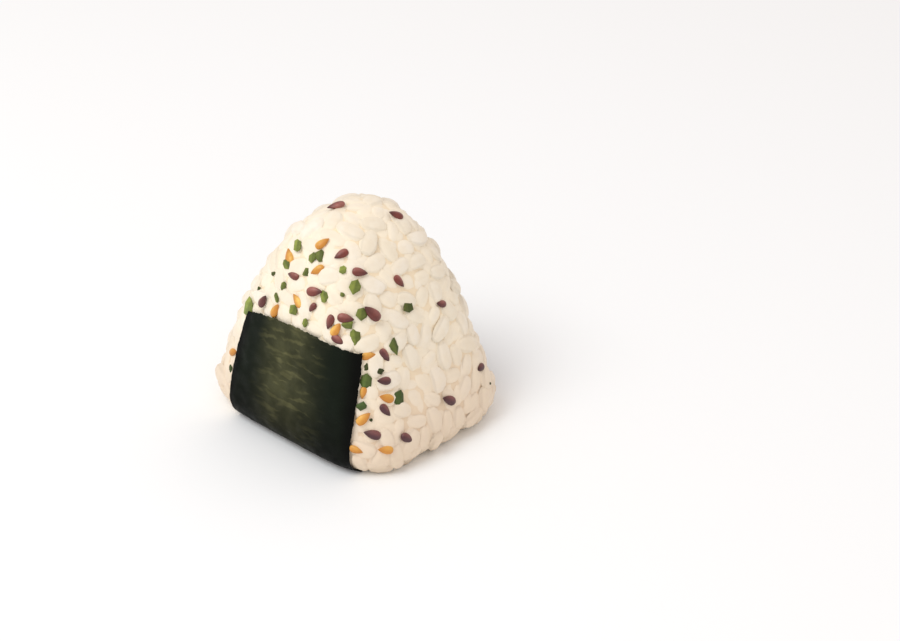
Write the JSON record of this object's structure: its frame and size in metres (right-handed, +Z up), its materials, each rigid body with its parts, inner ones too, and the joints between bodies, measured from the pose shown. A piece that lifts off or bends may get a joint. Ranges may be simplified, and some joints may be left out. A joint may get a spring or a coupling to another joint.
{
  "type": "onigiri rice ball with nori strip",
  "caption": "Plump rounded-triangle rice ball with seeds and green flakes on its broad faces and a nori strip wrapped from front to back under the base.",
  "frame": {"origin": "middle of the flat base, on the surface it stands on", "axes": "+Z up; X along the width of the triangle; -Y out of the front face"},
  "size_m": [0.0748, 0.0631, 0.0659],
  "materials": {
    "rice": "soft moist satin of pressed short-grain rice",
    "nori": "dry dark green-black sheet with a faint satin sheen",
    "dark_seed": "satin purple-brown seed skin",
    "golden_seed": "satin toasted golden seed skin",
    "green_flake": "matte dried green leaf"
  },
  "bodies": {
    "root": {"rice": "rice", "nori": "nori"}
  },
  "joints": []
}
